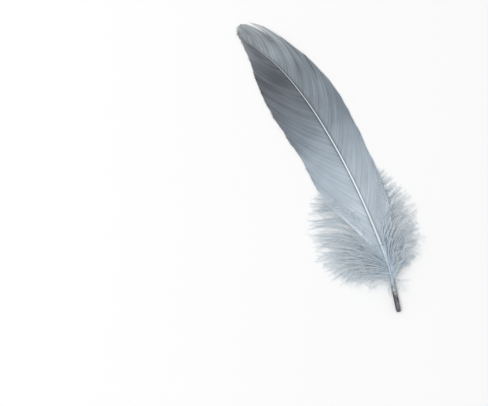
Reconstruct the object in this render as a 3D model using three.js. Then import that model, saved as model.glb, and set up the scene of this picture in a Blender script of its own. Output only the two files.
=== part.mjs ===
// A goose quill feather lying on a surface, outer side up, in millimetres with +Z up.
// +Y runs from the quill end to the tip of the vane, and the surface is z = 0.
// The shaft bows sideways and arches over the surface. From each side of it grow barbs, which lean
// towards the tip: loose downy ones near the quill, and hooked ones above them that form the web.
import * as THREE from "three";

// Shaft, at knots that are SHAFT_STEP apart along Y
const SHAFT_STEP = 24;
const SHAFT_BOW = [0, 6.9, 10.2, 12, 12.3, 10.8, 6.2, -3.9];
const SHAFT_HEIGHT = [1.05, 1.16, 2.9, 4.3, 4.9, 4.4, 2.8, 0.7];
const SHAFT_RADIUS = [1.32, 1.14, 0.62, 0.46, 0.4, 0.33, 0.25, 0.15];
const SHAFT_SIDES = 12;
const SHAFT_RINGS = 64;
const QUILL_END_LENGTH = 1.4; // the blunt end narrows over this length
const QUILL_END_SHARE = 0.86; // of the radius, at the very end

// Barbs, from the quill towards the tip: where one leaves the shaft, its own tip's x and y, and its
// bow, which is how far it bends towards the quill as a share of its length
const WEB_LEFT = [
  [28, -7.4, 74, 0],
  [44, -6.5, 86, 0.03],
  [60, -6.3, 99, 0.05],
  [77, -7.8, 112, 0.06],
  [94, -8.5, 126, 0.06],
  [111, -7.5, 139.5, 0.06],
  [127, -5.3, 149.5, 0.06],
  [143, -4, 160, 0.06],
  [157, -4.6, 167, 0.06],
  [167, -3.9, 170.8, 0.2],
];
const WEB_RIGHT = [
  [28, 24.5, 66, 0.1],
  [45, 26.6, 80, 0.08],
  [62, 27.8, 95, 0.06],
  [78, 28, 109.5, 0.06],
  [91, 26.8, 123.5, 0.08],
  [101.5, 23.8, 136, 0.1],
  [109, 19.8, 146.5, 0.12],
  [115.5, 15, 157.3, 0.14],
  [123.5, 9.3, 166.5, 0.15],
  [136, 4.2, 170.2, 0.15],
  [150, 0.6, 171.8, 0.12],
  [167, -1.6, 171.6, 0.06],
];
const DOWN_LEFT = [
  [15, -4, 19.5, 0.06],
  [16.5, -13, 24.5, 0.06],
  [18.5, -21, 31.5, 0.06],
  [20.5, -25.5, 41.5, 0.05],
  [22.7, -25, 54, 0.04],
  [24.8, -20.5, 65, 0.02],
  [26.6, -13, 74, 0],
];
const DOWN_RIGHT = [
  [15, 14, 20, 0.06],
  [16.5, 23, 24.5, 0.06],
  [18.5, 31, 31.5, 0.07],
  [20.5, 35, 41.5, 0.08],
  [22.7, 35, 52, 0.09],
  [24.8, 32.5, 61, 0.1],
  [26.6, 28.5, 68, 0.1],
];
const BARB_GAP = 0.35; // between the shaft's side and the barbs' roots

const WEB_THICKNESS = 0.6;
const WEB_CAMBER = 1.5; // power of the fall from the shaft to the edge, which lies on the surface
const WEB_ROWS = 54;
const DOWN_RIM = 0.8; // thickness at the barbs' tips
const DOWN_LOFT = 4; // extra thickness beside the shaft
const DOWN_ROWS = 20;
const STEPS_ALONG_BARB = 9;

/** A smooth curve through evenly weighted knots. */
function through(points) {
  return new THREE.CatmullRomCurve3(points, false, "catmullrom");
}

const shaftLine = through(
  SHAFT_BOW.map((x, i) => new THREE.Vector3(x, i * SHAFT_STEP, SHAFT_HEIGHT[i])),
);
const shaftRadius = through(SHAFT_RADIUS.map((r, i) => new THREE.Vector3(r, i * SHAFT_STEP, 0)));
const SHAFT_SPAN = (SHAFT_BOW.length - 1) * SHAFT_STEP;

/** The shaft's centre, radius and sideways direction where its centre line crosses y. */
function shaftAt(y) {
  const t = Math.min(Math.max(y / SHAFT_SPAN, 0), 1);
  const along = shaftLine.getTangent(t);
  return {
    centre: shaftLine.getPoint(t),
    radius: shaftRadius.getPoint(t).x,
    side: new THREE.Vector3(along.y, -along.x, 0).normalize(),
    along,
  };
}

/** Moves every vertex of a geometry to the place that a function gives it. */
function shape(geometry, place) {
  const position = geometry.attributes.position;
  const vertex = new THREE.Vector3();
  for (let i = 0; i < position.count; i += 1) {
    vertex.fromBufferAttribute(position, i);
    place(vertex);
    position.setXYZ(i, vertex.x, vertex.y, vertex.z);
  }
  geometry.computeVertexNormals();
  return geometry;
}

/** A tapered rod along the shaft's line, with a flat under the quill where it rests. */
function shaftGeometry() {
  const rod = new THREE.CylinderGeometry(1, 1, SHAFT_SPAN, SHAFT_SIDES, SHAFT_RINGS);
  return shape(rod, (vertex) => {
    const y = vertex.y + SHAFT_SPAN / 2;
    const { centre, radius, side, along } = shaftAt(y);
    const blunt = Math.min(1, QUILL_END_SHARE + ((1 - QUILL_END_SHARE) * y) / QUILL_END_LENGTH);
    const up = new THREE.Vector3().crossVectors(side, along);
    const across = vertex.x * radius * blunt;
    const rise = vertex.z * radius * blunt;
    vertex.copy(centre).addScaledVector(side, across).addScaledVector(up, rise);
    vertex.z = Math.max(vertex.z, 0);
  });
}

/**
 * The barbs of one row, as a function of where the barb is in the row (0 nearest the quill) and how
 * far along the barb a point is (0 at the root). It returns the point's x and y and the root's height.
 */
function barbs(rows, handed) {
  const roots = through(rows.map(([root], i) => new THREE.Vector3(root, i, 0)));
  const tips = through(rows.map(([, x, y]) => new THREE.Vector3(x, y, 0)));
  const bows = through(rows.map(([, , , bow], i) => new THREE.Vector3(bow, i, 0)));
  return (row, reach) => {
    const { centre, radius, side } = shaftAt(roots.getPoint(row).x);
    const root = centre.clone().addScaledVector(side, handed * (radius + BARB_GAP));
    const rootHeight = root.z;
    root.z = 0;
    const tip = tips.getPoint(row);
    const chord = tip.clone().sub(root);
    const bow = handed * bows.getPoint(row).x;
    const bend = new THREE.Vector3(chord.y, -chord.x, 0).multiplyScalar(2 * bow);
    const middle = root.clone().addScaledVector(chord, 0.5).add(bend);
    const point = new THREE.QuadraticBezierCurve3(root, middle, tip).getPoint(reach);
    return { x: point.x, y: point.y, rootHeight };
  };
}

/** A box whose length is laid across the barbs and whose width is laid along them. */
function barbSheet(rows, handed, count, heights) {
  const at = barbs(rows, handed);
  const sheet = new THREE.BoxGeometry(1, 1, 1, STEPS_ALONG_BARB, count, 1);
  return shape(sheet, (vertex) => {
    const reach = handed > 0 ? vertex.x + 0.5 : 0.5 - vertex.x;
    const { x, y, rootHeight } = at(vertex.y + 0.5, reach);
    vertex.set(x, y, heights(reach, rootHeight, vertex.z > 0));
  });
}

/** Half of the web: a thin cambered sheet with its outer edge on the surface. */
function webGeometry(rows, handed) {
  return barbSheet(rows, handed, WEB_ROWS, (reach, rootHeight, isTop) => {
    const rim = WEB_THICKNESS / 2;
    const middle = rim + (rootHeight - rim) * (1 - reach ** WEB_CAMBER);
    return middle + (isTop ? rim : -rim);
  });
}

/** A tuft of down: a pad that lies on the surface and thins towards the barbs' tips. */
function downGeometry(rows, handed) {
  return barbSheet(rows, handed, DOWN_ROWS, (reach, rootHeight, isTop) =>
    isTop ? DOWN_RIM + DOWN_LOFT * (1 - reach ** 2) : 0,
  );
}

function piece(name, geometry, color, roughness) {
  const material = new THREE.MeshStandardMaterial({ color, roughness, metalness: 0 });
  const mesh = new THREE.Mesh(geometry, material);
  mesh.name = name;
  return mesh;
}

const feather = new THREE.Group();
feather.add(
  piece("shaft", shaftGeometry(), 0xc3cacf, 0.4),
  piece("vane_left", webGeometry(WEB_LEFT, -1), 0x7f8a94, 0.7),
  piece("vane_right", webGeometry(WEB_RIGHT, 1), 0x86919b, 0.7),
  piece("down_left", downGeometry(DOWN_LEFT, -1), 0xb9c1c8, 0.95),
  piece("down_right", downGeometry(DOWN_RIGHT, 1), 0xb9c1c8, 0.95),
);

// The origin is on the surface, under the middle of the whole feather
const extent = new THREE.Box3().setFromObject(feather);
const middle = extent.getCenter(new THREE.Vector3());
feather.position.set(-middle.x, -middle.y, -extent.min.z);

export default feather;
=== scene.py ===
"""A goose quill feather lying on a pale floor, outer side up, grown barb by barb around the CAD frame.

Shapes are worked out in millimetres in the feather's own frame: the quill end at x = y = 0, +Y towards
the tip and the floor at z = 0. They become metres in the CAD frame when a mesh is made.
"""

import math

import bpy
import numpy as np
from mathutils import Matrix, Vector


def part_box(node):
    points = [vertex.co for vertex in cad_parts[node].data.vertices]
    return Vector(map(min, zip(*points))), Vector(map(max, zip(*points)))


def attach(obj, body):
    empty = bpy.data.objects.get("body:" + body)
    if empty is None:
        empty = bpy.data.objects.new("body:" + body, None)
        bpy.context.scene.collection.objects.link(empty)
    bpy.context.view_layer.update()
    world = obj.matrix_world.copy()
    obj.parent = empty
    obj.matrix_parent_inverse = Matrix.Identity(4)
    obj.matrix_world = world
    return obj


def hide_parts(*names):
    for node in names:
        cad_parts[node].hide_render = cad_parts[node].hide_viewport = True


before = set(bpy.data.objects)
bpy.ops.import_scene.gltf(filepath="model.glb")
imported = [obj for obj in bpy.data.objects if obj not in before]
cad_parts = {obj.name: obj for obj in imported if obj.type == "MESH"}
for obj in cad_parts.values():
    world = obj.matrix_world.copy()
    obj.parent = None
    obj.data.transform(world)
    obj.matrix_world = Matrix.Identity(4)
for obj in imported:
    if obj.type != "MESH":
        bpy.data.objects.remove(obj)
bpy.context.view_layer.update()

MM = 0.001
UP = (0.0, 0.0, 1.0)

# The shaft, at knots that are SHAFT_STEP apart along Y, as in the CAD model
SHAFT_STEP = 24
SHAFT_BOW = [0, 6.9, 10.2, 12, 12.3, 10.8, 6.2, -3.9]
SHAFT_HEIGHT = [1.05, 1.16, 2.9, 4.3, 4.9, 4.4, 2.8, 0.7]
SHAFT_RADIUS = [1.32, 1.14, 0.62, 0.46, 0.4, 0.33, 0.25, 0.15]
SHAFT_SPAN = SHAFT_STEP * (len(SHAFT_BOW) - 1)
CAD_SIDES = 12
CAD_RINGS = 64
QUILL_END_LENGTH = 1.4
QUILL_END_SHARE = 0.86

# The shaft's finer mesh
QUILL_SIDES = 28
QUILL_RINGS = 260
RING_CROWDING = 1.1  # above 1, the rings stand closer together at the quill's end
BLUNT_POWER = 0.6  # of the rounding of the quill's end
TIP_REACH = 0.4  # beyond the CAD shaft's end
TIP_TURN = -0.45  # sideways per mm of that reach
RIDGE_STARTS = 26  # y where the round quill begins to turn into the squarer ridge
RIDGE_FULL = 48
RIDGE_POWER = 1.2  # above 2, the power of a circle
GROOVE_DEPTH = 0.35  # of the ridge's underside, as a share of the radius
GROOVE_STARTS = 0.6  # how far down the section, from 0 at the sides to 1 at the bottom
WRINKLES = 5  # lengthwise, round the quill
WRINKLE_DEPTH = 0.025
WRINKLE_SWAY = 7  # mm along Y for one radian of their sway
HOLE_DEPTHS = [4.0, 3.6, 2.0, 0.35]  # rings of the hole in the quill's end, from the inside out
HOLE_SHARES = [0.15, 0.45, 0.6, 0.62]  # of the radius
HOLE_WAY = -0.02  # in the hole, where the way along the shaft is 0 at its mouth

# Barbs, from the quill towards the tip: root's y on the shaft, tip's x and y, bow. They are as in the CAD
# model, except at the tip, where the two sides nearly meet
WEB_LEFT = [
    (28, -7.4, 74, 0),
    (44, -6.5, 86, 0.03),
    (60, -6.3, 99, 0.05),
    (77, -7.8, 112, 0.06),
    (94, -8.5, 126, 0.06),
    (111, -7.5, 139.5, 0.06),
    (127, -5.3, 149.5, 0.06),
    (143, -4, 160, 0.06),
    (157, -3.9, 167.3, 0.06),
    (167, -2.3, 171.3, 0.06),
]
WEB_RIGHT = [
    (28, 24.5, 66, 0.1),
    (45, 26.6, 80, 0.08),
    (62, 27.8, 95, 0.06),
    (78, 28, 109.5, 0.06),
    (91, 26.8, 123.5, 0.08),
    (101.5, 23.8, 136, 0.1),
    (109, 19.8, 146.5, 0.12),
    (115.5, 15, 157.3, 0.14),
    (123.5, 9.3, 166.5, 0.15),
    (136, 4.2, 170.2, 0.15),
    (150, 0.6, 171.8, 0.12),
    (167, -1.9, 171.5, 0.06),
]

# Downy barbs in the same form; a bow below 0 bends towards the tip
FLUFF_LEFT = [
    (16.5, -3, 20.5, -0.05),
    (18, -12, 25.5, -0.08),
    (20, -19, 32, -0.08),
    (22.5, -23.5, 42, -0.06),
    (25.5, -23.5, 52.5, -0.08),
    (29.5, -19.5, 63, -0.12),
    (35, -13, 72.5, -0.16),
    (40.5, -9.5, 76, -0.18),
]
FLUFF_RIGHT = [
    (16.5, 13, 21, -0.05),
    (18, 22, 25.5, -0.08),
    (20, 29.5, 32.5, -0.12),
    (22.5, 33.5, 42, -0.16),
    (26, 33.5, 51.5, -0.18),
    (30, 31.5, 60, -0.18),
    (35, 28, 67.5, -0.16),
    (40.5, 27, 72.5, -0.15),
]

# The web's barbs
ROOT_DEPTH = 0.6  # where a barb starts inside the shaft, as a share of its radius
ROOT_RISE = 0.3  # and how far over the shaft's centre
BARB_SPACING = 0.35  # of the roots, along Y
BARB_STEPS = 30
BARB_OVERLAP = 1.25  # a barb's width as a share of the room that it has
BARB_NARROWEST = 0.04  # half of the width
BARB_WIDEST = 0.42
BARB_END = (0.95, 0.85)  # where along it a barb narrows, and by what share
BARB_RIDGE = 0.05
BARB_KEEL_ROOT = 0.14
BARB_KEEL_TIP = 0.04
BARB_SHINGLE = 0.03  # how far the edge towards the tip lies above the other edge
BARB_CUTS = [0, 0.36, 0.72, 0.86, 1]  # of a barb's strip of the bake map into its four sides
LENGTHS = (0.004, 0.008)  # how much lengths differ from barb to barb, and from tuft to tuft
TUFT = 9  # barbs
DRIFTS = [(0.25, 9), (0.35, 31)]  # how far barbs' ends stray sideways, and how many do so together
RIPPLE = (0.05, 4)  # the same, up and down
EDGE_RIPPLE = (0.06, 30)  # the same, growing towards the edge
RIPPLE_FADES = (0, 0.25)  # how far along the barb the ripple fades in
WEB_CAMBER = 1.5
WEB_RIM = 0.3  # height of the barbs' tips over the floor
WEB_LOWEST = 0.16  # height of the barbs' centre lines, at least
WEB_FLOOR = 0.02  # and of all else
WEB_BASE_LIFT = 1.0  # extra height of the lowest barbs, which lie on the down
WEB_BASE_BARBS = 13  # over which that lift and their paler tone fade
WEB_EDGE_BARBS = {-1: 9, 1: 3}  # over which the palest edge fades, left and right
LIFT_FADES = (0.05, 0.4)  # how far along the barb that lift fades in

# Splits in the web: root's y, where along the barb it opens (0 to 1), its width at the edge
SPLITS_LEFT = [
    (28.5, 0.45, 0.45),
    (29.2, 0.5, 0.5),
    (30.1, 0.6, 0.5),
    (50, 0.82, 0.35),
    (93, 0.85, 0.35),
    (124, 0.75, 0.3),
    (151, 0.6, 0.4),
]
SPLITS_RIGHT = [
    (44, 0.75, 0.5),
    (76, 0.86, 0.3),
    (107.5, 0.6, 0.3),
    (116, 0.6, 0.35),
    (137, 0.47, 2.0),
]
SPLIT_RECOVERY = 3.6  # mm along Y in which the web closes up again
SPLIT_POWER = 1.3  # of the splits' widening

# Painted shade along creases in the web: root's y, where it starts along the barb, how much darker (below
# 0, paler, as painted light), width in Y
CREASE_SHADES_LEFT = [(129.5, 0.1, 0.1, 3.0), (119, 0.3, 0.08, 2.0)]
CREASE_SHADES_RIGHT = [
    (107.2, 0.5, 0.4, 0.7),
    (115.7, 0.5, 0.45, 0.7),
    (124.5, 0.15, 0.3, 0.7),
    (130, 0.5, -0.16, 5.0),
    (140, 0.3, 0.15, 1.5),
]
CREASE_FADE = 0.2  # share of the barb over which a crease's painted shade fades in

# How pale the web is along Y, from 0 to 1
TONE_PLACES = [28, 60, 90, 103, 120, 136, 150, 172]
TONES_LEFT = [1.0, 0.99, 0.8, 0.5, 0.3, 0.05, 0.18, 0.45]
TONES_RIGHT = [1.0, 0.99, 0.82, 0.61, 0.55, 0.53, 0.69, 0.55]
TONE_SPREAD = 0.06  # from barb to barb
TONE_STREAKS = [(0.08, 3, 4), (0.04, 14, 3)]  # how strong, over how many barbs, turns along a barb
CONTRAST = {"low": 0.8, "high": 0.25, "edge": 0.6}  # of that: low down, more higher up, more at the edge
CONTRAST_RISES = (100, 130)  # y over which it grows from low to high
FRAYED_TIP = (142, 164)  # y over which the barbs' own tips turn paler
TIP_PALER = 0.3
SHAFT_SHADOW_DARKNESS = 0.4  # painted shade beside the shaft, where the raised shaft shades the barbs' roots
SHAFT_SHADOW = 0.05  # share of the barb that this takes in
BASE_PALER = 0.12
EDGE_PALER = 0.36
PALER_FADES = (0.1, 0.4)  # how far along the barb the last two fade in

# The down: a lower layer that fills, and barbs combed side by side on top of it
DOWN_STEPS = 40
DOWN_FLOOR = 0.12
DOWN_LOFT = 4.2
LAYERS = {
    "under": {
        "barbs": 72,
        "evenness": 0.012,  # how far barbs stray from even places in the row
        "length": (0.76, 1.02),
        "stray": 1.5,  # sideways, in mm, at its end
        "level": (0.0, 0.45),  # share of the loft
        "waves": 2.2,  # along a barb
        "stem": (0.075, 0.04),  # radius at the root and at the tip
        "barbule": (1.5, 0.028),  # length and radius
        "lean": 0.9,  # of the barbules, away from the barb, in radians
        "spacing": 0.18,
        "shades": (0.22, 0.0, -0.05),  # of the stem, and how much more at a barbule's base and its tip; kept dark as painted shade beneath the combed barbs
        "wisps": 80,
    },
    "comb": {
        "barbs": 88,
        "evenness": 0.005,
        "length": (0.84, 1.02),
        "stray": 0.9,
        "level": (0.5, 0.95),
        "waves": 3.4,
        "stem": (0.135, 0.06),
        "barbule": (0.95, 0.024),
        "lean": 0.65,
        "spacing": 0.19,
        # a pale stem, with barbules that darken towards their tips as painted shade in the gaps between
        # barbs
        "shades": (1.1, -0.2, -0.55),
        "wisps": 300,
    },
}
PLUME_LAYER = {**LAYERS["comb"], "spacing": 0.12, "barbule": (0.9, 0.024)}

# How the long downy barbs run; "barbs" is how many neighbours stray together
FIRST_SHARE = 0.015  # of the row, where the lowest barb starts
CROWDING = 0.78  # below 1, the upper barbs stand closer together than the lower ones
SWAY = {"size": 1.4, "barbs": 6, "power": 1.6}
WAVES = {"size": (0.15, 0.5), "barbs": 5, "spread": 0.6}
PHASE = {"barbs": 8, "spread": 0.05}
HOOK = {"size": 1.6, "spread": 0.6, "starts": 0.6}  # how far barbs' ends droop towards the quill
UNDER_WEB = (0.45, 0.8)  # shares of the row over which barbs come to lie under the web
UNDER_FLATTER = 0.8  # share of the loft that they lose there
UNDER_LOWER = 0.8  # how much lower they start
ARCH_STARTS = 0.05
ARCH_POWER = 0.8
DOWN_RIPPLE = {"height": 0.3, "rate": 1.3}  # up and down, as fast as the waves times the rate
DOWN_REST = 0.3  # height of the barbs' ends

# How pale the down is
ROOT_PAINTED_SHADE = 0.25  # painted shade: how much darker the barbs are at their roots, deep in the down under the web and quill
ROOT_PAINTED_SHADE_FADES = (0.05, 0.35)  # along a barb
TIP_SHADE = 0.8  # and how much paler at their tips
ROW_SHADE = 0.1  # how much paler the lowest barb is than the uppermost
SHADE_SPREAD = 0.12  # how much barbs differ
SHADE_CLUMPS = {"size": 0.45, "barbs": 2.5, "turns": 7}  # and how much patches of neighbouring ones do

# Barbules; "more" is at a barb's end, against its root
BARBULES = {
    "starts": 0.8,  # from the barb's root
    "jitter": 0.1,  # of their places, in steps of the barb
    "roll": 0.5,  # out of the barb's plane, in radians
    "lean": {"spread": 0.2, "more": 0.2},
    "length": {"shares": (0.5, 1.25), "first": 0.4, "grown": 0.3, "more": 0.35},
    "radius": {"shares": (0.75, 1.25), "more": -0.5},
    # the barbules' painted shade at their tips weakens towards a barb's end
    "shade": {"spread": 0.05, "more": -0.7},
}
SECTION_AXIS = (0.13, 0.07, 1.0)  # no barbule runs along it

# Curling hairs and short barbs that leave the long ones
OFFSHOOT_STEPS = 10
OFFSHOOT_LAST = 0.95  # share of the long barb beyond which none leaves it
OFFSHOOT_SHADE = 0.1  # how much they differ from it
CURL_ARCH = 0.8  # of half a wave, up and down
WISPS = {"from": 0.1, "turn": 0.6, "curl": 1.4, "length": (2.0, 4.5), "rise": (0.0, 1.2)}
WISP_RADIUS = 0.05
WISP_TAPER = 0.3
PLUMES = {"from": 0.3, "turn": 0.4, "curl": 1.0, "length": (3.0, 6.5), "rise": (0.3, 1.3)}
PLUME_COUNT = 190
PLUME_STEM = (0.08, 0.035)  # radius at its root and at its tip

# Loose hairs that start on the quill just below the web
QUILL_HAIRS = {
    "count": 40,
    "roots": (15, 33),  # y
    "round": (0.2, 1.3),  # how far up, in radians
    "heading": (2.1, 0.7),  # away from +Y, and its spread
    "curl": 1.5,
    "length": (3.0, 8.0),
    "rise": (0.3, 1.8),
    "shade": (0.5, 1.0),
}

# Short barbs on top of the quill and the web's base
STRAYS = {
    "count": 18,
    "steps": 16,
    "roots": (14, 35),  # y
    "headings": (2.1, 0.8),  # away from +Y at those y, in radians
    "turn": 0.35,
    "curl": (-0.3, 0.7),
    "length": (5.0, 10.0),
    "rise": (0.4, 2.2),
    "place": 0.8,  # share of the radius, sideways and upwards
    "lowest": 2.6,  # height over the floor
    "crossing": 4,  # every fourth one crosses the quill
    "shade": (0.9, 0.1),
}

# Margins of the bake maps, and the ellipses in which end caps lie
MAP_EDGE = 0.01
STRIP_EDGE = 0.02
CAP_MIDDLE = (0.5, 0.004)
CAP_RADIUS = (0.3, 0.003)
CAP_SHIFT = 0.99  # from the first ring's cap to the last one's
SHAFT_CAP_RADIUS = (0.4, 0.003)
SHAFT_CAP_SHIFT = 0.988
SHADE_EDGE = 0.03
SHADE_NUDGE = 0.01  # between a face's corners, so that it has some area

# The picture: where the feather's ends are in it
IMAGE_WIDTH = 488
IMAGE_HEIGHT = 406
QUILL_END_PIXEL = (398.5, 311.5)
TIP_PIXEL = (240.0, 24.5)
FEATHER_LENGTH = 172.0
LENS = 85.0
SENSOR = 36.0

# Colours, as bytes, at places of a value from 0 to 1
WEB_COLORS = [
    (0.0, (77, 81, 89)),
    (0.4, (124, 133, 142)),
    (0.8, (180, 192, 202)),
    (0.9, (200, 210, 219)),
    (1.0, (232, 242, 250)),
]
WEB_DYE = [  # over the others, from the quill's end to the tip
    (0.4, (253, 253, 254)),
    (0.6, (250, 253, 255)),
    (0.85, (254, 252, 250)),
    (0.97, (255, 251, 244)),
]
DOWN_COLORS = [(0.0, (112, 142, 170)), (0.5, (177, 202, 222)), (1.0, (240, 248, 253))]
HORN_PALE = [
    (0.06, (184, 187, 192)),
    (0.11, (205, 211, 217)),
    (0.2, (206, 215, 221)),
    (0.42, (236, 244, 250)),
    (0.55, (220, 230, 236)),
    (0.7, (190, 199, 205)),
    (0.82, (164, 171, 177)),
    (1.0, (128, 134, 140)),
]
HORN_FLANK_SHADE = [(0.6, (255, 255, 255)), (0.92, (135, 142, 148))]  # painted shade on the ridge's sides, laid over them from the top to the sides
HORN_DARK = [(0.42, (42, 41, 46)), (0.52, (84, 81, 90)), (0.66, (138, 132, 146))]
HORN_COVER = [  # how far the dark colour covers the pale one
    (0.128, (255, 255, 255)),
    (0.145, (150, 150, 150)),
    (0.18, (85, 85, 85)),
    (0.27, (0, 0, 0)),
]
HORN_BLOTCHES = {"pale": 0.06, "cover": 0.16}  # how far they move these along the shaft
HORN_FLANK_SHADE_COVER = {"power": 3.0, "reach": 0.03}  # painted shade: how much further the dark reaches at the quill's sides
HORN_LIT = {"base": 0.06, "right": 0.12, "along": -3.0}  # painted light that makes the dark horn paler on its right side, with its overall paleness and its change along the shaft, besides its streaks
WEB_TONE_SHARE = 0.8
WEB_MOTTLE = 0.3
BARBULE_RATE = 700.0  # radians along a barb
BARBULE_SLANT = 5.0  # radians from its ridge to its edge
STREAK_STRETCH = 14.0  # of the way along the shaft, against the way round it
MIX_FACTOR, MIX_FIRST, MIX_SECOND, MIX_RESULT = 0, 6, 7, 2  # a colour mix node's sockets

# The studio
FLOOR_HALF = 2.5
FLOOR_COLOR = (0.9, 0.9, 0.9, 1)
FLOOR_ROUGHNESS = 0.9
SKY_COLOR = (1, 1, 1, 1)
SKY_STRENGTH = 0.655
SOFTBOX_SIZE = 1.6
SOFTBOX_POWER = 31.5
SOFTBOX_PLACE = (-1.1, 0.6, 2.0)
SOFTBOX_TURN = (-16, -28, 0)  # degrees


def through(knots, share):
    """Points at share (0 to 1) of the smooth curve through evenly weighted knots, one row a knot."""
    knots = np.asarray(knots, float)
    knots = knots.reshape(len(knots), -1)
    before = 2 * knots[0] - knots[1]
    after = 2 * knots[-1] - knots[-2]
    padded = np.vstack([before, knots, after])
    place = np.clip(share, 0, 1) * (len(knots) - 1)
    start = np.minimum(place.astype(int), len(knots) - 2)
    w = (place - start)[..., None]
    p0, p1, p2, p3 = (padded[start + k] for k in range(4))
    linear = p2 - p0
    square = 2 * p0 - 5 * p1 + 4 * p2 - p3
    cube = 3 * p1 - p0 - 3 * p2 + p3
    return 0.5 * (2 * p1 + linear * w + square * w**2 + cube * w**3)


def unit(vectors):
    return vectors / np.maximum(np.linalg.norm(vectors, axis=-1, keepdims=True), 1e-9)


def ring_of(first, second, turn):
    """Unit vectors at angles round an axis, from the first direction towards the second."""
    return first[..., None, :] * np.cos(turn)[:, None] + second[..., None, :] * np.sin(turn)[:, None]


def smooth_step(values, low, high):
    t = np.clip((values - low) / (high - low), 0, 1)
    return t * t * (3 - 2 * t)


def wander(random, count, period):
    """Smooth random values, mostly between -1 and 1, that turn about every `period` items."""
    knots = random.normal(0, 0.5, int(count / period) + 3)
    return through(knots, np.linspace(0, 1, count))[:, 0]


def streaks(random, count, period, steps, pieces):
    """Smooth random values, (count, steps), that turn every `period` items and `pieces` times along."""
    knots = random.normal(0, 0.5, (int(count / period) + 3, pieces + 1))
    spread = through(knots, np.linspace(0, 1, count))
    return through(spread.T, np.linspace(0, 1, steps)).T


SHAFT_KNOTS = np.column_stack(
    [SHAFT_BOW, np.arange(len(SHAFT_BOW)) * SHAFT_STEP, SHAFT_HEIGHT, SHAFT_RADIUS]
)


def shaft_at(y):
    """The shaft's centre, radius, sideways, upward and lengthwise directions at each y."""
    share = np.clip(np.asarray(y, float) / SHAFT_SPAN, 0, 1)
    here = through(SHAFT_KNOTS, share)
    ahead = through(SHAFT_KNOTS, np.minimum(share + 1e-4, 1))
    behind = through(SHAFT_KNOTS, np.maximum(share - 1e-4, 0))
    along = unit((ahead - behind)[..., :3])
    side = unit(np.stack([along[..., 1], -along[..., 0], np.zeros_like(share)], -1))
    return here[..., :3], here[..., 3], side, np.cross(side, along), along


def cad_shift():
    """From the feather's frame to the CAD frame, in metres: the CAD shaft's corner against this one's."""
    turn = np.arange(CAD_SIDES) * math.tau / CAD_SIDES
    y = np.linspace(0, SHAFT_SPAN, CAD_RINGS + 1)
    centre, radius, side, up, _ = shaft_at(y)
    blunt = np.minimum(1, QUILL_END_SHARE + (1 - QUILL_END_SHARE) * y / QUILL_END_LENGTH)
    ring = centre[:, None] + (radius * blunt)[:, None, None] * ring_of(up, side, turn)
    low = np.array(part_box("shaft")[0])
    corner = ring.reshape(-1, 3).min(0) * MM
    return np.array([low[0] - corner[0], low[1] - corner[1], 0.0])


SHIFT = cad_shift()


# -------- meshes


def add_object(name, data):
    obj = bpy.data.objects.new(name, data)
    bpy.context.scene.collection.objects.link(obj)
    return obj


def make_object(name, points, faces, fibre, bake_map, material, is_rim=None):
    """An object from arrays: points in mm, faces as a list of (n, 3 or more) index arrays, fibre as one
    vector a point, bake_map as one (u, v) a face corner and is_rim as a flag for points on sharp lines."""
    sizes = np.concatenate([np.full(len(f), f.shape[1]) for f in faces])
    corners = np.concatenate([f.reshape(-1) for f in faces])
    starts = np.concatenate([[0], np.cumsum(sizes)[:-1]])
    points = points.reshape(-1, 3)
    mesh = bpy.data.meshes.new(name)
    mesh.vertices.add(len(points))
    mesh.vertices.foreach_set("co", (points * MM + SHIFT).astype(np.float32).ravel())
    mesh.loops.add(len(corners))
    mesh.loops.foreach_set("vertex_index", corners.astype(np.int32))
    mesh.polygons.add(len(sizes))
    mesh.polygons.foreach_set("loop_start", starts.astype(np.int32))
    mesh.update(calc_edges=True)
    mesh.polygons.foreach_set("use_smooth", np.ones(len(sizes), bool))
    values = mesh.attributes.new("fibre", "FLOAT_VECTOR", "POINT")
    values.data.foreach_set("vector", fibre.astype(np.float32).ravel())
    layer = mesh.uv_layers.new(name="OFBake")
    layer.uv.foreach_set("vector", bake_map.astype(np.float32).ravel())
    if is_rim is not None:
        mark_sharp(mesh, is_rim.ravel())
    mesh.materials.append(material)
    return add_object(name, mesh)


def mark_sharp(mesh, is_rim):
    """Marks the edges that run from one rim point to another."""
    ends = np.empty(len(mesh.edges) * 2, np.int32)
    mesh.edges.foreach_get("vertices", ends)
    ends = ends.reshape(-1, 2)
    layer = mesh.attributes.new("sharp_edge", "BOOLEAN", "EDGE")
    layer.data.foreach_set("value", is_rim[ends[:, 0]] & is_rim[ends[:, 1]])


def directions(line):
    """Unit vectors along each line, sideways from it and upwards from it."""
    along = unit(np.gradient(line, axis=1))
    across = unit(np.cross(along, UP))
    return along, across, unit(np.cross(across, along))


def fibre_of(points, *values):
    """The three values that each point carries."""
    return np.stack([np.broadcast_to(value, points.shape[:-1]) for value in values], -1)


def grid(*counts):
    return np.meshgrid(*[np.arange(count) for count in counts], indexing="ij")


def strand_faces(strands, rings, sides):
    """Quads and end caps of closed strands, whose points run round each ring, ring by ring."""
    s, r, m = grid(strands, rings - 1, sides)
    here = (s * rings + r) * sides
    after = (m + 1) % sides
    quads = np.stack([here + m, here + sides + m, here + sides + after, here + after], -1)
    first = np.arange(strands)[:, None] * rings * sides + np.arange(sides)[None]
    last = first + (rings - 1) * sides
    return [quads.reshape(-1, 4), first, last[:, ::-1]]


def spaced(index, count):
    """Where the index-th of count lines lies between the margins of a bake map."""
    return MAP_EDGE + (1 - 2 * MAP_EDGE) * index / (count - 1)


def cap_map(turn, radius):
    """A small ellipse on a bake map, for an end cap."""
    return np.array(CAP_MIDDLE) + np.array(radius) * np.column_stack([np.cos(turn), np.sin(turn)])


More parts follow.
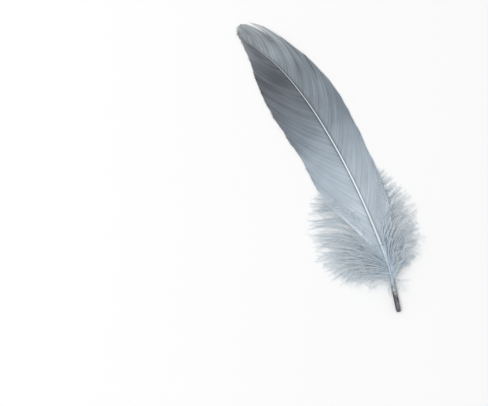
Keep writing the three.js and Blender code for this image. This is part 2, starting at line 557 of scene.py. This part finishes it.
def strip_map(strands, rings, cuts):
    """A bake map with a strip for each strand, cut into its sides, then the end caps."""
    sides = len(cuts) - 1
    s, r, m = grid(strands, rings - 1, sides)
    cuts = np.array(cuts) * (1 - 2 * STRIP_EDGE) + STRIP_EDGE
    low = (s + cuts[m]) / strands
    high = (s + cuts[m + 1]) / strands
    start = spaced(r, rings)
    stop = spaced(r + 1, rings)
    quads = np.stack([low, start, low, stop, high, stop, high, start], -1).reshape(-1, 2)
    cap = cap_map(np.arange(sides) * math.tau / sides, CAP_RADIUS)
    first = np.repeat(cap[None], strands, axis=0)
    first[..., 0] = (first[..., 0] + np.arange(strands)[:, None]) / strands
    last = first + [0, CAP_SHIFT]
    return np.concatenate([quads, first.reshape(-1, 2), last[:, ::-1].reshape(-1, 2)])


# -------- the web


def barb_lines(rows, handed, shares, reach):
    """Centre lines of barbs, (barbs, steps, 3), flat on the floor, their roots' heights and y."""
    place = through(rows, shares)
    centre, radius, side, _, _ = shaft_at(place[:, 0])
    root = centre + side * (handed * radius * ROOT_DEPTH)[:, None]
    height = root[:, 2] + ROOT_RISE * radius
    root[:, 2] = 0
    tip = np.column_stack([place[:, 1], place[:, 2], np.zeros(len(shares))])
    chord = tip - root
    bend = np.column_stack([chord[:, 1], -chord[:, 0], np.zeros(len(shares))])
    middle = root + chord / 2 + bend * (2 * handed * place[:, 3])[:, None]
    u = reach[..., None]
    line = (1 - u) ** 2 * root[:, None] + 2 * u * (1 - u) * middle[:, None] + u**2 * tip[:, None]
    return line, height, place[:, 0]


def even_shares(rows, spacing):
    """Shares of a row whose roots are evenly spaced along the shaft."""
    fine = np.linspace(0, 1, 2000)
    root_y = through(rows, fine)[:, 0]
    count = int((root_y[-1] - root_y[0]) / spacing) + 1
    wanted = np.linspace(root_y[0], root_y[-1], count)
    return np.interp(wanted, root_y, fine)


def split_push(root_y, u, splits):
    """How far splits push the barbs towards the feather's tip, in mm."""
    push = np.zeros((len(root_y), u.size))
    for root, opens, width in splits:
        gap = np.clip((u - opens) / (1 - opens), 0, 1) ** SPLIT_POWER * width / 2
        pull = np.exp(-np.abs(root_y - root) / SPLIT_RECOVERY) * np.where(root_y > root, 1, -1)
        push = push + pull[:, None] * gap
    return push


def web_tones(random, root_y, y, u, tones, crease_shades, edge):
    """How pale each barb is at each step."""
    count = len(root_y)
    uneven = TONE_SPREAD * random.normal(size=count)[:, None]
    for size, period, turns in TONE_STREAKS:
        uneven = uneven + size * streaks(random, count, period, u.size, turns)
    at_edge = np.exp(-((np.arange(count) / edge) ** 2))[:, None]
    higher = smooth_step(y, *CONTRAST_RISES)
    contrast = CONTRAST["low"] + CONTRAST["high"] * higher + CONTRAST["edge"] * at_edge
    tone = np.interp(y, TONE_PLACES, tones) + contrast * uneven
    # painted shade along the web's creases, and painted light where a crease's value is below 0
    for root, starts, depth, width in crease_shades:
        near = np.exp(-(((root_y - root) / width) ** 2))[:, None]
        tone = tone - depth * near * smooth_step(u, starts, starts + CREASE_FADE)
    # painted shade on the barbs' roots beside the raised shaft
    in_shaft_shadow = 1 - smooth_step(u, 0.0, SHAFT_SHADOW)
    at_base = np.exp(-np.arange(count) / WEB_BASE_BARBS)[:, None]
    at_tip = smooth_step(u, 0.5, 1.0) * smooth_step(y, *FRAYED_TIP)
    tone = tone + TIP_PALER * at_tip - SHAFT_SHADOW_DARKNESS * in_shaft_shadow
    return tone + (BASE_PALER * at_base + EDGE_PALER * at_edge) * smooth_step(u, *PALER_FADES)


def half_widths(line, across, u):
    """Half of each barb's width at each step, from the room up to its neighbours."""
    room = np.abs((np.gradient(line, axis=0) * across).sum(-1))
    half = np.clip(room * 0.5 * BARB_OVERLAP, BARB_NARROWEST, BARB_WIDEST)
    starts, share = BARB_END
    return half * (1 - share * smooth_step(u, starts, 1.0))


def web_lift(random, count, u):
    """How uneven the web is in height, and how far the down raises its lowest barbs."""
    size, period = RIPPLE
    ripple = size * wander(random, count, period)[:, None]
    size, period = EDGE_RIPPLE
    ripple = ripple + size * wander(random, count, period)[:, None] * u
    base = WEB_BASE_LIFT * np.exp(-np.arange(count) / WEB_BASE_BARBS)[:, None]
    return ripple * smooth_step(u, *RIPPLE_FADES) + base * smooth_step(u, *LIFT_FADES)


def web_lines(random, rows, handed, splits, u):
    """Centre lines of one half's barbs, half their widths, their reach and their roots' y."""
    shares = even_shares(rows, BARB_SPACING)
    count = len(shares)
    each, together = LENGTHS
    length = 1 + each * random.normal(size=count) + together * wander(random, count, TUFT)
    reach = u * length[:, None]
    line, height, root_y = barb_lines(rows, handed, shares, reach)
    fall = 1 - np.clip(reach, 0, 1) ** WEB_CAMBER
    line[..., 2] = WEB_RIM + (height[:, None] - WEB_RIM) * fall
    _, across, _ = directions(line)
    half = half_widths(line, across, u)

    # towards the feather's tip, the next barb is on a right barb's left and on a left barb's right
    drift = sum(size * wander(random, count, period) for size, period in DRIFTS)
    drift = drift[:, None] * u**2 + split_push(root_y, u, splits)
    line = line - across * (handed * drift)[..., None]
    line[..., 2] = np.maximum(line[..., 2] + web_lift(random, count, u), WEB_LOWEST)
    return line, half, reach, root_y


def web(name, rows, handed, splits, crease_shades, tones, seed, material):
    """One half of the web: closed ribbons with a low ridge above and a keel below, one a barb."""
    random = np.random.default_rng(seed)
    u = np.linspace(0, 1, BARB_STEPS)[None]
    line, half, reach, root_y = web_lines(random, rows, handed, splits, u)
    _, across, up = directions(line)
    keel = BARB_KEEL_ROOT + (BARB_KEEL_TIP - BARB_KEEL_ROOT) * u
    side = across * half[..., None]
    shingle = up * (handed * BARB_SHINGLE)
    corners = [
        line + side - shingle,
        line + up * BARB_RIDGE,
        line - side + shingle,
        line - up * keel[..., None],
    ]
    points = np.stack(corners, 2)
    points[..., 2] = np.maximum(points[..., 2], WEB_FLOOR)

    tone = web_tones(random, root_y, line[..., 1], u, tones, crease_shades, WEB_EDGE_BARBS[handed])
    fibre = fibre_of(points, reach[..., None], [1, 0, -1, 0], tone[..., None])
    is_rim = np.broadcast_to([True, False, True, False], points.shape[:3])
    faces = strand_faces(len(line), BARB_STEPS, 4)
    bake_map = strip_map(len(line), BARB_STEPS, BARB_CUTS)
    return make_object(name, points, faces, fibre, bake_map, material, is_rim)


# -------- the down


def down_heights(random, u, shares, height, waves, phase, layer):
    """Heights of the downy barbs: the uppermost lie flat under the web, the others are lofty."""
    under = smooth_step(shares, *UNDER_WEB)[:, None]
    level = random.uniform(*layer["level"], len(shares))[:, None]
    arch = np.sin(math.pi * np.clip(u * (1 - ARCH_STARTS) + ARCH_STARTS, 0, 1)) ** ARCH_POWER
    loft = level * arch * DOWN_LOFT * (1 - UNDER_FLATTER * under)
    ripple = DOWN_RIPPLE["height"] * u * np.sin(waves * DOWN_RIPPLE["rate"] * u * math.tau + 2 * phase)
    slope = (height[:, None] - UNDER_LOWER * under) * (1 - u)
    return np.maximum(DOWN_REST + slope + loft + ripple, DOWN_FLOOR + layer["stem"][0])


def down_lines(random, rows, handed, layer):
    """Centre lines of the downy barbs, (barbs, steps, 3), and how pale each is at each step."""
    count = layer["barbs"]
    stray = random.normal(0, layer["evenness"], count)
    shares = np.clip(np.linspace(FIRST_SHARE, 1, count) ** CROWDING + stray, 0, 1)
    length = random.uniform(*layer["length"], count)
    u = np.linspace(0, 1, DOWN_STEPS)[None]
    line, height, _ = barb_lines(rows, handed, shares, u * length[:, None])
    _, across, _ = directions(line)
    turn = SWAY["size"] * wander(random, count, SWAY["barbs"])
    turn = turn + layer["stray"] * random.normal(size=count)
    waves = layer["waves"] + WAVES["spread"] * wander(random, count, WAVES["barbs"])[:, None]
    phase = wander(random, count, PHASE["barbs"]) + PHASE["spread"] * random.normal(size=count)
    phase = math.tau * phase[:, None]
    size = random.uniform(*WAVES["size"], count)[:, None]
    sway = turn[:, None] * u ** SWAY["power"] + size * u * np.sin(waves * u * math.tau + phase)
    droop = handed * HOOK["size"] * (1 + HOOK["spread"] * random.normal(size=count))
    hook = droop[:, None] * smooth_step(u, HOOK["starts"], 1.0) ** 2
    line = line + across * (sway + hook)[..., None]
    line[..., 2] = down_heights(random, u, shares, height, waves, phase, layer)
    return line, down_shades(random, layer, shares)


def tubes(line, radius, shade):
    """Closed three-sided tubes along lines: points, faces and fibre."""
    strands, rings, _ = line.shape
    _, across, up = directions(line)
    turn = np.arange(3) * math.tau / 3 + math.pi / 2
    points = line[:, :, None] + ring_of(across, up, turn) * radius[..., None, None]
    fibre = fibre_of(points, np.linspace(0, 1, rings)[:, None], shade[..., None], 0)
    return points.reshape(-1, 3), strand_faces(strands, rings, 3), fibre.reshape(-1, 3)


def stations(line, spacing):
    """Places at even distances along each line: which line, and where along its steps."""
    step = np.linalg.norm(np.diff(line, axis=1), axis=-1)
    run = np.concatenate([np.zeros((len(line), 1)), np.cumsum(step, axis=1)], axis=1)
    owner, place = [], []
    for number, distance in enumerate(run):
        wanted = np.arange(BARBULES["starts"], distance[-1], spacing)
        spot = np.interp(wanted, distance, np.arange(line.shape[1]))
        owner.append(np.full(len(spot), number))
        place.append(spot)
    return np.concatenate(owner), np.concatenate(place)


def points_on(line, owner, place):
    """Points and directions of lines at places along their steps."""
    before = np.minimum(place.astype(int), line.shape[1] - 2)
    share = (place - before)[:, None]
    here = line[owner, before]
    step = line[owner, before + 1] - here
    return here + step * share, unit(step), before


def barbule_ends(random, along, u, layer):
    """Each barbule's direction and length; u is 0 at a barb's root and 1 at its end."""
    count = len(u)
    across = unit(np.cross(along, UP))
    up = unit(np.cross(across, along))
    hand = np.tile([1.0, -1.0], count // 2)
    roll = random.normal(0, BARBULES["roll"], count)
    out = across * (hand * np.cos(roll))[:, None] + up * np.sin(roll)[:, None]
    spread = BARBULES["lean"]["spread"] + BARBULES["lean"]["more"] * u
    lean = layer["lean"] + spread * random.normal(size=count)
    direction = along * np.cos(lean)[:, None] + out * np.sin(lean)[:, None]
    form = BARBULES["length"]
    length = layer["barbule"][0] * random.uniform(*form["shares"], count)
    length = length * (form["first"] + (1 - form["first"]) * smooth_step(u, 0, form["grown"]))
    return direction, length * (1 + form["more"] * u)


def barbules(random, line, shade, layer):
    """Closed needles on both sides of each line: points, faces and fibre."""
    owner, place = stations(line, layer["spacing"])
    owner = np.repeat(owner, 2)
    count = len(owner)
    jitter = BARBULES["jitter"]
    place = np.repeat(place, 2) + random.uniform(-jitter, jitter, count)
    place = np.clip(place, 0, line.shape[1] - 1.001)
    base, along, before = points_on(line, owner, place)
    u = place / (line.shape[1] - 1)
    direction, length = barbule_ends(random, along, u, layer)
    end = base + direction * length[:, None]
    side = unit(np.cross(direction, SECTION_AXIS))
    ring = ring_of(side, np.cross(direction, side), np.arange(3) * math.tau / 3)
    form = BARBULES["radius"]
    radius = layer["barbule"][1] * random.uniform(*form["shares"], count) * (1 + form["more"] * u)
    points = np.concatenate([base[:, None] + ring * radius[:, None, None], end[:, None]], axis=1)
    points[..., 2] = np.maximum(points[..., 2], DOWN_FLOOR / 2)
    # barbules darken from their base to their tip: painted shade in the gaps between the barbs
    _, at_base, at_tip = layer["shades"]
    bright = shade[owner, before] + random.normal(0, BARBULES["shade"]["spread"], count)
    change = np.array([at_base, at_base, at_base, at_tip]) * (1 + BARBULES["shade"]["more"] * u)[:, None]
    fibre = fibre_of(points, [0, 0, 0, 1], bright[:, None] + change, 0)
    first = np.arange(count)[:, None] * 4
    m = np.arange(3)
    walls = np.stack([first + m, first + (m + 1) % 3, first + 3 + 0 * m], -1).reshape(-1, 3)
    return points.reshape(-1, 3), [walls, first + m[::-1]], fibre.reshape(-1, 3)


def curls(random, base, angle, curl, kind, steps):
    """Curling lines from base points, in the direction of an angle on the floor's plane."""
    length = random.uniform(*kind["length"], len(base))
    rise = random.uniform(*kind["rise"], len(base))
    w = np.linspace(0, 1, steps)[None]
    heading = angle[:, None] + curl[:, None] * w
    step = (length / (steps - 1))[:, None]
    path = np.stack([np.cos(heading) * step, np.sin(heading) * step], -1)
    path = np.cumsum(path, axis=1) - path[:, :1]
    line = np.empty((len(base), steps, 3))
    line[..., :2] = base[:, None, :2] + path
    arch = rise[:, None] * np.sin(w * math.pi * CURL_ARCH)
    line[..., 2] = np.maximum(base[:, None, 2] + arch, DOWN_FLOOR)
    return line


def hairs(line, shade):
    """Thin tapered tubes."""
    return tubes(line, WISP_RADIUS * np.linspace(1, WISP_TAPER, line.shape[1]), shade[:, None])


def offshoots(random, line, shade, kind):
    """Curling lines that leave the lines at random places, and how pale each is."""
    count = kind["count"]
    owner = random.integers(0, len(line), count)
    place = random.uniform(kind["from"], OFFSHOOT_LAST, count) * (line.shape[1] - 1)
    base, along, before = points_on(line, owner, place)
    angle = np.arctan2(along[:, 1], along[:, 0]) + random.normal(0, kind["turn"], count)
    curl = random.normal(0, kind["curl"], count)
    lines = curls(random, base, angle, curl, kind, OFFSHOOT_STEPS)
    return lines, shade[owner, before] + random.normal(0, OFFSHOOT_SHADE, count)


def plume_parts(random, line, shade):
    """Short barbs with barbules of their own."""
    shade = shade[:, None] * np.ones(line.shape[1])
    stems = tubes(line, np.linspace(*PLUME_STEM, line.shape[1]), shade)
    return [stems, barbules(random, line, shade, PLUME_LAYER)]


def quill_hairs(random, handed):
    """Loose hairs from the quill just below the web."""
    count = QUILL_HAIRS["count"]
    y = random.uniform(*QUILL_HAIRS["roots"], count)
    centre, radius, side, up, _ = shaft_at(y)
    turn = random.uniform(*QUILL_HAIRS["round"], count)
    base = centre + side * (handed * radius * np.cos(turn))[:, None]
    base = base + up * (radius * np.sin(turn))[:, None]
    angle = math.pi / 2 - handed * random.normal(*QUILL_HAIRS["heading"], count)
    curl = random.normal(0, QUILL_HAIRS["curl"], count)
    line = curls(random, base, angle, curl, QUILL_HAIRS, OFFSHOOT_STEPS)
    return hairs(line, random.uniform(*QUILL_HAIRS["shade"], count))


def stray_lines(random, handed):
    """Centre lines of the short barbs on top of the quill."""
    count = STRAYS["count"]
    y = random.uniform(*STRAYS["roots"], count)
    centre, radius, side, _, _ = shaft_at(y)
    crosses = np.where(np.arange(count) % STRAYS["crossing"] == 0, -1, 1)
    base = centre + side * (handed * crosses * radius * STRAYS["place"])[:, None]
    base[:, 2] = np.maximum(centre[:, 2] + radius * STRAYS["place"], STRAYS["lowest"])
    away = np.interp(y, STRAYS["roots"], STRAYS["headings"]) + random.normal(0, STRAYS["turn"], count)
    curl = handed * random.normal(*STRAYS["curl"], count)
    return curls(random, base, math.pi / 2 - handed * away, curl, STRAYS, STRAYS["steps"])


def shade_map(faces, fibre):
    """A bake map that lays each face where its own colour is: shade across and the way along upwards."""
    corners = np.concatenate([f.reshape(-1) for f in faces])
    u = np.clip(fibre[corners, 1], 0, 1) * (1 - 2 * SHADE_EDGE) + SHADE_EDGE
    v = np.clip(fibre[corners, 0], 0, 1) * (1 - 2 * MAP_EDGE) + MAP_EDGE
    nudges = [np.tile(np.linspace(-SHADE_NUDGE, SHADE_NUDGE, f.shape[1]), len(f)) for f in faces]
    return np.column_stack([u + np.concatenate(nudges), v])


def joined(name, parts, material):
    """One object from several (points, faces, fibre)."""
    faces = []
    base = 0
    for part_points, part_faces, _ in parts:
        faces += [f + base for f in part_faces]
        base += len(part_points)
    points = np.concatenate([part[0] for part in parts])
    fibre = np.concatenate([part[2] for part in parts])
    return make_object(name, points, faces, fibre, shade_map(faces, fibre), material)


def down_shades(random, layer, shares):
    """How pale each downy barb is at each step."""
    u = np.linspace(0, 1, DOWN_STEPS)[None]
    shade = layer["shades"][0] + TIP_SHADE * u**2 + ROW_SHADE * (0.5 - shares)[:, None]
    # painted shade at the barbs' roots
    shade = shade - ROOT_PAINTED_SHADE * (1 - smooth_step(u, *ROOT_PAINTED_SHADE_FADES))
    clumps = streaks(random, len(shares), SHADE_CLUMPS["barbs"], DOWN_STEPS, SHADE_CLUMPS["turns"])
    shade = shade + SHADE_CLUMPS["size"] * clumps
    return shade + SHADE_SPREAD * random.normal(size=len(shares))[:, None]


def down(name, rows, handed, layer, seed, material):
    """One layer of the downy barbs of one side."""
    random = np.random.default_rng(seed)
    line, shade = down_lines(random, rows, handed, layer)
    parts = [
        tubes(line, np.linspace(*layer["stem"], DOWN_STEPS), shade),
        barbules(random, line, shade, layer),
        hairs(*offshoots(random, line, shade, {**WISPS, "count": layer["wisps"]})),
        quill_hairs(random, handed),
    ]
    return joined(name, parts, material)


def down_top(name, rows, handed, seed, material):
    """Plumes that lie over the downy barbs of one side, the quill and the web's base."""
    random = np.random.default_rng(seed)
    line, shade = down_lines(random, rows, handed, PLUME_LAYER)
    short, bright = offshoots(random, line, shade, {**PLUMES, "count": PLUME_COUNT})
    parts = plume_parts(random, short, bright)
    stray = stray_lines(random, handed)
    pale, spread = STRAYS["shade"]
    parts += plume_parts(random, stray, pale + spread * random.normal(size=len(stray)))
    return joined(name, parts, material)


# -------- the shaft


def shaft_rings():
    """The shaft's skin from deep in the quill's hole, out over its end and on to the tip."""
    turn = -np.arange(QUILL_SIDES) * math.tau / QUILL_SIDES
    c, s = np.cos(turn)[None], np.sin(turn)[None]
    y = np.linspace(0, 1, QUILL_RINGS) ** RING_CROWDING * (SHAFT_SPAN + TIP_REACH)
    centre, radius, side, up, _ = shaft_at(y)
    beyond = np.maximum(y - SHAFT_SPAN, 0)
    centre = centre + np.column_stack([TIP_TURN * beyond, beyond, 0 * beyond])
    blunt = QUILL_END_SHARE + (1 - QUILL_END_SHARE) * (y / QUILL_END_LENGTH) ** BLUNT_POWER
    reach = radius * np.minimum(1, blunt)
    ridge = smooth_step(y, RIDGE_STARTS, RIDGE_FULL)[:, None]
    power = 2 + RIDGE_POWER * ridge
    square = (np.abs(c) ** power + np.abs(s) ** power) ** (-1 / power)
    below = np.clip(-s - GROOVE_STARTS, 0, 1) / (1 - GROOVE_STARTS)
    wrinkle = WRINKLE_DEPTH * np.cos(WRINKLES * turn[None] + np.sin(y / WRINKLE_SWAY)[:, None])
    form = square * (1 - GROOVE_DEPTH * ridge * below) * (1 + wrinkle * (1 - ridge))
    outer = centre[:, None] + ring_of(side, up, turn) * (reach[:, None] * form)[..., None]
    outer[..., 2] = np.maximum(outer[..., 2], 0)
    depth = np.array(HOLE_DEPTHS)
    centre, radius, side, up, _ = shaft_at(depth)
    inner = centre[:, None] + ring_of(side, up, turn) * (radius * HOLE_SHARES)[:, None, None]
    way = np.concatenate([np.full(len(depth), HOLE_WAY), y / SHAFT_SPAN])
    return np.concatenate([inner, outer]), way, turn


def shaft_map(rows, sides, turn):
    """A bake map with the skin unrolled, then the caps at its two ends."""
    r, m = grid(rows - 1, sides)
    low, high = m / sides, (m + 1) / sides
    start, stop = spaced(r, rows), spaced(r + 1, rows)
    spread = np.stack([low, start, high, start, high, stop, low, stop], -1).reshape(-1, 2)
    cap = cap_map(turn, SHAFT_CAP_RADIUS)
    return np.concatenate([spread, cap[::-1], cap + [0, SHAFT_CAP_SHIFT]])


def shaft(name, material):
    """The quill and the ridge, as one closed skin."""
    rings, way, turn = shaft_rings()
    rows, sides = rings.shape[:2]
    fibre = fibre_of(rings, way[:, None], np.cos(turn), np.sin(turn))
    quads, first, last = strand_faces(1, rows, sides)
    faces = [quads[:, [0, 3, 2, 1]], first[:, ::-1], last[:, ::-1]]  # the other way round
    return make_object(name, rings, faces, fibre, shaft_map(rows, sides, turn), material)


# -------- materials


def material_of(name):
    """A new material, its nodes and its shader."""
    material = bpy.data.materials.new(name)
    material.use_nodes = True
    tree = material.node_tree
    return material, tree, tree.nodes["Principled BSDF"]


def add_node(tree, kind, links=None, **settings):
    """Adds a node, sets its properties, and links or sets its inputs."""
    node = tree.nodes.new(kind)
    for key, value in settings.items():
        setattr(node, key, value)
    for socket, source in (links or {}).items():
        if isinstance(source, bpy.types.NodeSocket):
            tree.links.new(source, node.inputs[socket])
        else:
            node.inputs[socket].default_value = source
    return node


def linear(byte):
    """A byte of an sRGB colour as linear light."""
    value = byte / 255
    return value / 12.92 if value <= 0.04045 else ((value + 0.055) / 1.055) ** 2.4


def ramp(tree, value, stops):
    """Colours, given as bytes, at places of a value."""
    node = add_node(tree, "ShaderNodeValToRGB", {"Fac": value})
    elements = node.color_ramp.elements
    while len(elements) < len(stops):
        elements.new(0.5)
    for element, (place, color) in zip(elements, stops):
        element.position = place
        element.color = (*[linear(c) for c in color], 1)
    return node.outputs["Color"]


def math_node(tree, operation, a, b=0.0, c=0.0):
    return add_node(tree, "ShaderNodeMath", {0: a, 1: b, 2: c}, operation=operation).outputs[0]


def noise(tree, vector, scale, detail):
    links = {"Vector": vector, "Scale": scale, "Detail": detail}
    return add_node(tree, "ShaderNodeTexNoise", links).outputs["Fac"]


def scaled(tree, value, factor, plus):
    return math_node(tree, "MULTIPLY_ADD", value, factor, plus)


def mixed(tree, share, first, second, blend="MIX"):
    """One colour laid over another."""
    links = {MIX_FACTOR: share, MIX_FIRST: first, MIX_SECOND: second}
    node = add_node(tree, "ShaderNodeMix", links, data_type="RGBA", blend_type=blend)
    return node.outputs[MIX_RESULT]


def fibre_parts(tree):
    """The three values that each point of a mesh carries."""
    fibre = add_node(tree, "ShaderNodeAttribute", attribute_name="fibre").outputs["Vector"]
    parts = add_node(tree, "ShaderNodeSeparateXYZ", {"Vector": fibre})
    return [parts.outputs[axis] for axis in "XYZ"]


def object_place(tree):
    return add_node(tree, "ShaderNodeTexCoord").outputs["Object"]


def set_surface(tree, shader, value, rough, height, depth, strength):
    """Roughness between two values, and bump from a height that is `depth` metres deep."""
    links = {"Value": value, "To Min": rough[0], "To Max": rough[1]}
    roughness = add_node(tree, "ShaderNodeMapRange", links).outputs["Result"]
    tree.links.new(roughness, shader.inputs["Roughness"])
    links = {"Height": height, "Distance": depth, "Strength": strength}
    bump = add_node(tree, "ShaderNodeBump", links).outputs["Normal"]
    tree.links.new(bump, shader.inputs["Normal"])


def web_material():
    """Dyed slate grey, with a herringbone of barbules on each barb."""
    material, tree, shader = material_of("web")
    reach, across, tone = fibre_parts(tree)
    place = object_place(tree)
    mottle = noise(tree, place, scale=60.0, detail=3.0)
    around = scaled(tree, mottle, WEB_MOTTLE, -WEB_MOTTLE / 2)
    tone = scaled(tree, tone, WEB_TONE_SHARE, around)
    y = add_node(tree, "ShaderNodeSeparateXYZ", {"Vector": place}).outputs["Y"]
    along = scaled(tree, y, 1 / (FEATHER_LENGTH * MM), 0.5)
    color = mixed(tree, 1.0, ramp(tree, tone, WEB_COLORS), ramp(tree, along, WEB_DYE), "MULTIPLY")
    tree.links.new(color, shader.inputs["Base Color"])
    slant = math_node(tree, "MULTIPLY", math_node(tree, "ABSOLUTE", across), BARBULE_SLANT)
    barbule = math_node(tree, "SINE", scaled(tree, reach, BARBULE_RATE, slant))
    set_surface(tree, shader, mottle, rough=(0.48, 0.66), height=barbule, depth=0.00003, strength=0.35)
    shader.inputs["Specular IOR Level"].default_value = 0.35
    shader.inputs["Sheen Weight"].default_value = 0.15
    shader.inputs["Sheen Roughness"].default_value = 0.4
    return material


def down_material():
    """Pale fluff, bluer where it is darker."""
    material, tree, shader = material_of("down")
    _, shade, _ = fibre_parts(tree)
    tree.links.new(ramp(tree, shade, DOWN_COLORS), shader.inputs["Base Color"])
    grain = noise(tree, object_place(tree), scale=2500.0, detail=2.0)
    set_surface(tree, shader, grain, rough=(0.7, 0.9), height=grain, depth=0.00002, strength=0.3)
    shader.inputs["Specular IOR Level"].default_value = 0.2
    return material


def horn_colors(tree, way, across, streak, blotch):
    """The horn's pale colour with painted shade on its sides, its dark one with painted light on its right
    side, and how far that covers the first.
    """
    sideways = math_node(tree, "ABSOLUTE", across)
    around = scaled(tree, blotch, HORN_BLOTCHES["pale"], -HORN_BLOTCHES["pale"] / 2)
    pale = ramp(tree, math_node(tree, "ADD", way, around), HORN_PALE)
    # painted shade on the ridge's sides
    pale = mixed(tree, 1.0, pale, ramp(tree, sideways, HORN_FLANK_SHADE), "MULTIPLY")
    # painted light: the dark horn is paler on its right side
    lit = math_node(tree, "ADD", scaled(tree, across, HORN_LIT["right"], streak), HORN_LIT["base"])
    lit = scaled(tree, way, HORN_LIT["along"], lit)
    mottle = scaled(tree, blotch, HORN_BLOTCHES["cover"], way)
    # painted shade: the dark colour reaches further at the quill's sides
    flank_shade = math_node(tree, "POWER", sideways, HORN_FLANK_SHADE_COVER["power"])
    mottle = scaled(tree, flank_shade, -HORN_FLANK_SHADE_COVER["reach"], mottle)
    return pale, ramp(tree, lit, HORN_DARK), ramp(tree, mottle, HORN_COVER)


def horn_material():
    """Charcoal at the quill's end, then mottled, then a pale ridge that greys towards the tip."""
    material, tree, shader = material_of("horn")
    way, across, rise = fibre_parts(tree)
    stretched = math_node(tree, "MULTIPLY", way, STREAK_STRETCH)
    skin = add_node(tree, "ShaderNodeCombineXYZ", {0: stretched, 1: across, 2: rise})
    streak = noise(tree, skin.outputs[0], scale=2.6, detail=4.0)
    blotch = noise(tree, object_place(tree), scale=560.0, detail=4.0)
    pale, dark, cover = horn_colors(tree, way, across, streak, blotch)
    tree.links.new(mixed(tree, cover, pale, dark), shader.inputs["Base Color"])
    set_surface(tree, shader, streak, rough=(0.28, 0.5), height=streak, depth=0.00012, strength=0.5)
    return material


# -------- stage


def add_camera():
    """Straight above, turned and placed so that the feather's ends fall on their pixels."""
    quill = np.array(QUILL_END_PIXEL)
    run = np.array(TIP_PIXEL) - quill
    mm_per_pixel = FEATHER_LENGTH / np.hypot(*run)
    lean = math.atan2(-run[0], -run[1])
    right = np.array([math.cos(lean), -math.sin(lean)])
    up = np.array([math.sin(lean), math.cos(lean)])
    middle = np.array([IMAGE_WIDTH / 2, IMAGE_HEIGHT / 2]) - quill
    x, y = (right * middle[0] - up * middle[1]) * mm_per_pixel
    distance = IMAGE_WIDTH * mm_per_pixel * LENS / SENSOR
    data = bpy.data.cameras.new("camera")
    data.lens = LENS
    data.sensor_width = SENSOR
    camera = add_object("camera", data)
    camera.location = np.array([x, y, distance]) * MM + SHIFT
    camera.rotation_euler = (0, 0, -lean)
    bpy.context.scene.camera = camera


def add_floor():
    mesh = bpy.data.meshes.new("floor")
    half = FLOOR_HALF
    corners = [(-half, -half, 0), (half, -half, 0), (half, half, 0), (-half, half, 0)]
    mesh.from_pydata(corners, [], [(0, 1, 2, 3)])
    material, _, shader = material_of("floor")
    shader.inputs["Base Color"].default_value = FLOOR_COLOR
    shader.inputs["Roughness"].default_value = FLOOR_ROUGHNESS
    mesh.materials.append(material)
    add_object("floor", mesh)


def add_light():
    """An even sky and one soft light from the upper left."""
    world = bpy.data.worlds.new("studio")
    bpy.context.scene.world = world
    world.use_nodes = True
    background = world.node_tree.nodes["Background"]
    background.inputs["Color"].default_value = SKY_COLOR
    background.inputs["Strength"].default_value = SKY_STRENGTH
    data = bpy.data.lights.new("softbox", "AREA")
    data.shape = "SQUARE"
    data.size = SOFTBOX_SIZE
    data.energy = SOFTBOX_POWER
    softbox = add_object("softbox", data)
    softbox.location = SOFTBOX_PLACE
    softbox.rotation_euler = [math.radians(degrees) for degrees in SOFTBOX_TURN]


def place_piece(piece, node):
    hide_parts(node)
    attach(piece, "root")


def add_webs():
    look = web_material()
    left = web("web_left", WEB_LEFT, -1, SPLITS_LEFT, CREASE_SHADES_LEFT, TONES_LEFT, seed=11, material=look)
    place_piece(left, "vane_left")
    right = web("web_right", WEB_RIGHT, 1, SPLITS_RIGHT, CREASE_SHADES_RIGHT, TONES_RIGHT, seed=12, material=look)
    place_piece(right, "vane_right")


def add_down():
    look = down_material()
    sides = [("left", FLUFF_LEFT, -1, 21), ("right", FLUFF_RIGHT, 1, 31)]
    for side, rows, handed, seed in sides:
        tufts = [
            down(f"fluff_{side}_under", rows, handed, LAYERS["under"], seed, look),
            down(f"fluff_{side}_comb", rows, handed, LAYERS["comb"], seed + 1, look),
            down_top(f"fluff_{side}_top", rows, handed, seed + 2, look),
        ]
        for tuft in tufts:
            place_piece(tuft, f"down_{side}")


def main():
    bpy.context.scene.view_settings.view_transform = "Standard"
    add_camera()
    add_floor()
    add_light()
    place_piece(shaft("quill_and_ridge", horn_material()), "shaft")
    add_webs()
    add_down()


main()
